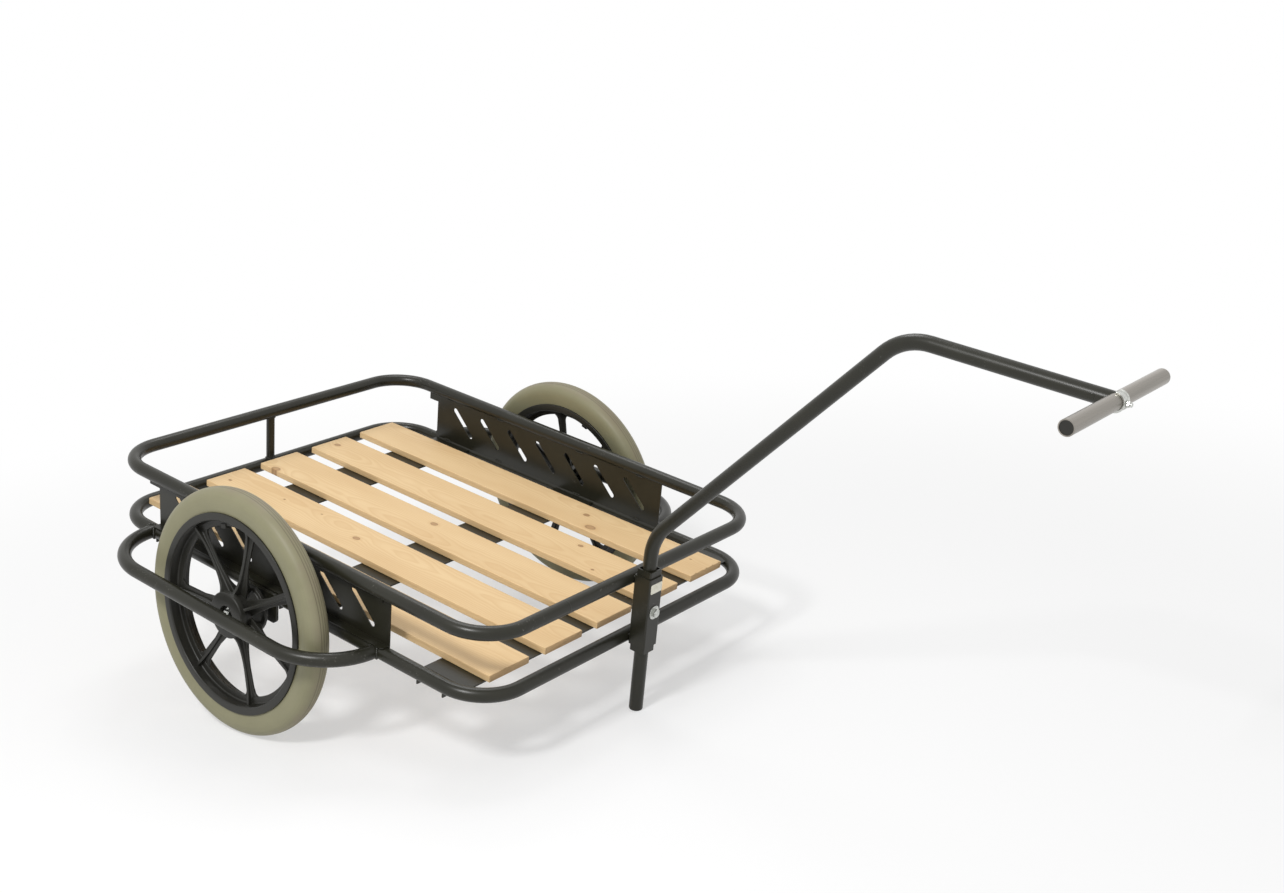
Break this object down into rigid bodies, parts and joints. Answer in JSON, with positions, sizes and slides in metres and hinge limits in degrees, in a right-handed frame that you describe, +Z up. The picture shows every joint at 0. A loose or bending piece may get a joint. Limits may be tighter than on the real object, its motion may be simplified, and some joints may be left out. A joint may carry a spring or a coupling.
{
  "type": "hand cart",
  "caption": "Two-wheeled hand cart: slatted wooden deck inside low tube rails, slotted side panels, wheel guards, and a bent drawbar whose foot parks it.",
  "frame": {"origin": "centre of the bounding box's floor: midway between the rear rail and the crossbar's bolt, on the wheels' common plane, at floor height", "axes": "+X along the cart toward the crossbar, +Y to the cart's left, +Z up; the cart stands parked, its deck sloping down toward the front by the park angle"},
  "size_m": [2.0996, 1.133, 0.8266],
  "materials": {
    "frame_paint": "satin black powder coat",
    "wheel_plastic": "black moulded plastic",
    "tyre": "grey-green solid tyre",
    "wood": "planed pine, oiled",
    "zinc": "zinc plated",
    "bare_steel": "dull grey-brown steel tube"
  },
  "bodies": {
    "cart": {"drawbar": "frame_paint", "foot_plug": "wheel_plastic", "front_bearer_1": "frame_paint", "front_bearer_2": "frame_paint", "handle": "bare_steel", "handle_bolt": "zinc", "handle_strap": "zinc", "left_axle": "zinc", "left_axle_nut": "zinc", "left_axle_plate": "frame_paint", "left_guard": "frame_paint", "left_guard_front_bend": "frame_paint", "left_guard_rear_bend": "frame_paint", "left_handle_plug": "wheel_plastic", "left_panel": "frame_paint", "liner": "frame_paint", "lower_rail": "frame_paint", "middle_bearer_1": "frame_paint", "middle_bearer_2": "frame_paint", "rear_bearer_1": "frame_paint", "rear_bearer_2": "frame_paint", "rear_post": "frame_paint", "right_axle": "zinc", "right_axle_nut": "zinc", "right_axle_plate": "frame_paint", "right_guard": "frame_paint", "right_guard_front_bend": "frame_paint", "right_guard_rear_bend": "frame_paint", "right_handle_plug": "wheel_plastic", "right_panel": "frame_paint", "slat_1": "wood", "slat_2": "wood", "slat_3": "wood", "slat_4": "wood", "slat_5": "wood", "sleeve": "frame_paint", "sleeve_bolt": "zinc", "sleeve_nut": "zinc", "upper_rail": "frame_paint"},
    "right_wheel_body": {"right_tyre": "tyre", "right_wheel": "wheel_plastic"},
    "left_wheel_body": {"left_tyre": "tyre", "left_wheel": "wheel_plastic"}
  },
  "joints": [
    {"name": "right_wheel_spin", "type": "hinge", "parent": "cart", "child": "right_wheel_body", "pos_m": [-0.54346, -0.489, 0.24954], "axis": [-0.0112, 0.9979, -0.0636], "continuous": true},
    {"name": "left_wheel_spin", "type": "hinge", "parent": "cart", "child": "left_wheel_body", "pos_m": [-0.54346, 0.489, 0.24954], "axis": [0.0112, 0.9979, 0.0636], "continuous": true}
  ]
}
